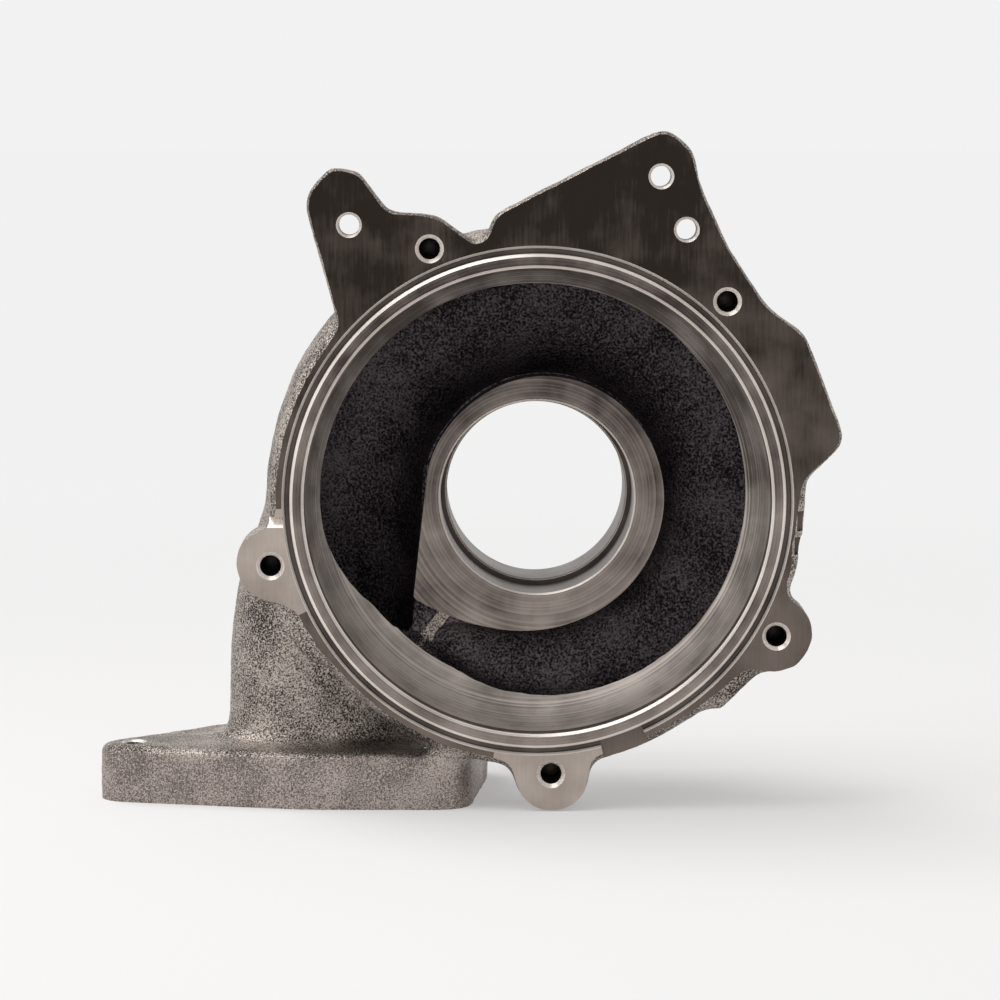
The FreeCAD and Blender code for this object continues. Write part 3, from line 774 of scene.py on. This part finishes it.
def raw_casting(solid, corners, triangles, slab):
    """The casting as it leaves the sand: soft edges, filled creases, a lumpy skin and milling stock."""
    parts = [solid, slab] + turned_stock()
    for chosen, out in machined_groups(corners):
        parts.append(stock_shell(corners, triangles, chosen, out, STOCK, STOCK_SINK))
    parts += [hole_plug(mount, 1.6 * MM, 1 * MM) for mount in TAPS]
    parts += [hole_plug(mount, 1.2 * MM, 0.6 * MM) for mount in PLATE_HOLES + FLANGE_HOLES]
    foot = [(x * MM, z * MM) for x, z in EAR_FOOT]
    parts.append(prism_mesh("foot", foot, -STOCK, RIM_REAR, SKIN))
    parts.append(sector_mesh(FILL_ANGLES, RING_FACE_R, RIM_R, RIM_FRONT, RIM_REAR, SKIN))
    piece = new_object("raw_casting", joined_mesh("filled", parts))
    remesh(piece)
    cut(piece, neck_corner_mesh())
    remesh(piece)
    mesh = piece.data
    spots = np.empty(len(mesh.vertices) * 3)
    mesh.vertices.foreach_get("co", spots)
    spots = spots.reshape(-1, 3)
    edges = np.empty(len(mesh.edges) * 2, dtype=np.int64)
    mesh.edges.foreach_get("vertices", edges)
    edges = edges.reshape(-1, 2)
    for turn in range(EDGE_ROUNDS):
        spots = spots + (neighbour_mean(spots, edges) - spots) * 0.5
    spots = restored(spots, corners, triangles)
    for turn in range(CREASE_ROUNDS):
        normals = vertex_normals(mesh, spots)
        pull = neighbour_mean(spots, edges) - spots
        lift = np.maximum(0, np.einsum("ij,ij->i", pull, normals))[:, None]
        spots = spots + normals * lift * 0.9 + pull * 0.05
    normals = vertex_normals(mesh, spots)
    lumps = np.array([noise.noise(Vector(spot) / LUMP_SIZE) for spot in spots])
    grit = np.array([noise.noise(Vector(spot) / GRIT_SIZE + Vector((7, 3, 5))) for spot in spots])
    spots = spots + normals * (lumps * LUMP_HEIGHT + grit * GRIT_HEIGHT)[:, None]
    spots[:, 0] = np.clip(spots[:, 0], LOW[0], HIGH[0])
    spots[:, 1] = np.minimum(spots[:, 1], HIGH[1])
    spots[:, 2] = np.minimum(spots[:, 2], HIGH[2])
    vertex_normals(mesh, spots)
    return piece


def restored(spots, corners, triangles):
    """Brings worn edges back to just inside the solid's skin."""
    skin = skin_tree(corners, triangles)
    free = in_neck_corner(spots)
    result = spots.copy()
    for index, spot in enumerate(spots):
        if free[index]:
            continue
        near, normal, face, distance = skin.find_nearest(Vector(spot), 3 * MM)
        if near is None:
            continue
        depth = (near - Vector(spot)).dot(normal)
        if depth > EDGE_LOSS:
            result[index] = spot + np.array(normal) * (depth - EDGE_LOSS)
    return result


def machine(piece, prism):
    """Cuts every machined face and hole, which brings its own finish."""
    inner = BORE_R + 2.6 * MM
    front = BOSS_FACE_DEPTH - 2 * MM
    outer = BAND_EDGE_R + 0.05 * MM
    rear = band_depth(BAND_INNER_R) + BOWL_SINK
    bowl = spun_mesh("bowl", [
        (inner, front, SKIN),
        (outer, front, SKIN),
        (outer, band_depth(outer), SKIN),
        (BAND_INNER_R, rear, SKIN),
        (inner, rear, SKIN),
        (inner, front, SKIN),
    ], SEGMENTS, (0, 1, 0), (0, 0, 0))
    ring = new_object("ring", bowl)
    cut(ring, prism)
    cutters = [neck_corner_mesh(), turning_cutter(), ring.data.copy(), outlet_cutter()]
    bpy.data.objects.remove(ring)
    cutters += [hole_cutter(mount, TAP_SINK, TAP_DEPTH, False) for mount in TAPS]
    cutters += [hole_cutter(mount, PLAIN_SINK, 0, True) for mount in PLATE_HOLES]
    cutters += [hole_cutter(mount, FLANGE_SINK, 0, True) for mount in FLANGE_HOLES]
    cutters.append(block_mesh("floor_cut", (-0.2, -0.05, FLOOR_Z - 5 * MM), (0.05, 0.12, FLOOR_Z), MILLED))
    cutters.append(sector_mesh(POCKET_ANGLES, RING_FACE_R + 0.2 * MM, 0.12, -3 * MM, POCKET_DEPTH, MILLED))
    cutters.append(ear_chamfer_mesh())
    for low, high, inner, depth in RIM_NOTCHES:
        cutters.append(block_mesh("notch", (inner * MM, -3 * MM, low * MM), (0.12, depth * MM, high * MM),
                                  MILLED))
    for mesh in cutters:
        cut(piece, mesh)


def paint(piece, corners, triangles, inside):
    """Gives the passage, the ears and the flange's sides the finishes that the cuts didn't bring."""
    skin = skin_tree(corners, triangles)
    flange_top = FLOOR_Z + FLANGE_THICKNESS
    for face in piece.data.polygons:
        x, y, z = face.center
        if face.material_index == MILLED and abs(y - PLATE_FACE) < 0.05 * MM:
            angle = math.degrees(math.atan2(z, x)) % 360
            if min(abs(angle - ear) for ear in EAR_ANGLES) < EAR_SPREAD:
                face.material_index = FACED
        if face.material_index != SKIN:
            continue
        near = skin.find_nearest(face.center, 8 * MM)[2]
        # The passage's faces get the core skin, whose darkness is partly painted shade.
        if near is not None and inside[near] or in_neck_corner(np.array([face.center]))[0]:
            face.material_index = CORE_AND_SHADE
        elif z < flange_top and abs(face.normal.z) < 0.6:
            face.material_index = DRESSED


def smooth_mesh(piece):
    """Smooth shading with crisp machined edges."""
    mesh = piece.data
    mesh.shade_smooth()
    mesh.set_sharp_from_angle(angle=math.radians(32))


def housing():
    """The finished housing, which stands for the CAD solid."""
    solid, corners, triangles = merged_solid()
    slab, prism = boss_parts(corners, triangles)
    piece = raw_casting(solid, corners, triangles, slab)
    machine(piece, prism)
    paint(piece, corners, triangles, passage_faces(corners, triangles))
    smooth_mesh(piece)
    piece.name = "machined_casting"
    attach(piece, "root")
    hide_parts(NODE)
    return piece


# Stage, lamps and camera

def floor():
    """Pale card that the housing stands on."""
    size = 12.0
    mesh = bpy.data.meshes.new("floor")
    corners = [(-size, -size, FLOOR_Z), (size, -size, FLOOR_Z), (size, size, FLOOR_Z), (-size, size, FLOOR_Z)]
    mesh.from_pydata(corners, [], [(0, 1, 2, 3)])
    mesh.materials.append(card_material())
    card = bpy.data.objects.new("floor", mesh)
    bpy.context.scene.collection.objects.link(card)


def lamp(name, place, target, size, power):
    """Square soft box that faces a target."""
    light = bpy.data.lights.new(name, "AREA")
    light.shape = "SQUARE"
    light.size = size
    light.energy = power
    holder = bpy.data.objects.new(name, light)
    holder.location = place
    holder.rotation_euler = (Vector(target) - Vector(place)).to_track_quat("-Z", "Y").to_euler()
    bpy.context.scene.collection.objects.link(holder)


def studio():
    """Pale surroundings under a darker ceiling, with a soft sun and soft boxes."""
    world = bpy.data.worlds.new("studio")
    bpy.context.scene.world = world
    world.use_nodes = True
    tree = world.node_tree
    tree.nodes.clear()
    way = add(tree, "ShaderNodeSeparateXYZ", i0=add(tree, "ShaderNodeTexCoord").outputs["Generated"])
    wall = add(tree, "ShaderNodeMapRange", {1: 0.30, 2: 0.55, 3: 1.0, 4: 0.0}, i0=way.outputs["Z"])
    share = add(tree, "ShaderNodeMath", {"operation": "MULTIPLY"}, i0=pale_rays(tree),
                i1=wall.outputs["Result"])
    around = add(tree, "ShaderNodeBackground", {"Color": colour("#f6f4f2"), "Strength": 0.58})
    backdrop = add(tree, "ShaderNodeBackground", {"Color": colour(PALE), "Strength": 1.0})
    mix = add(tree, "ShaderNodeMixShader", i0=share.outputs[0], i1=around.outputs[0], i2=backdrop.outputs[0])
    output = add(tree, "ShaderNodeOutputWorld")
    tree.links.new(mix.outputs[0], output.inputs["Surface"])
    sun("soft_sun", (-0.5, 0.35, 1.0), 35, 1.1)
    lamp("top_box", (-0.35, -0.15, 0.9), (0, 0.03, 0), 0.6, 3)
    lamp("left_box", (-1.1, -0.5, 0.5), (0, 0, -0.02), 0.5, 2)


def sun(name, towards, angle, strength):
    """Far light of a wide angle, which lights the floor evenly."""
    light = bpy.data.lights.new(name, "SUN")
    light.angle = math.radians(angle)
    light.energy = strength
    holder = bpy.data.objects.new(name, light)
    holder.rotation_euler = Vector(towards).to_track_quat("Z", "Y").to_euler()
    bpy.context.scene.collection.objects.link(holder)


def camera():
    """Camera at the photograph's place."""
    lens = bpy.data.cameras.new("camera")
    lens.lens = CAMERA_LENS
    lens.sensor_width = CAMERA_SENSOR
    lens.clip_end = 50
    holder = bpy.data.objects.new("camera", lens)
    holder.location = CAMERA_PLACE
    holder.rotation_euler = Euler((math.radians(90 - CAMERA_PITCH), 0, math.radians(-CAMERA_YAW)))
    bpy.context.scene.collection.objects.link(holder)
    bpy.context.scene.camera = holder


housing()
floor()
studio()
camera()
bpy.context.scene.view_settings.view_transform = "Standard"
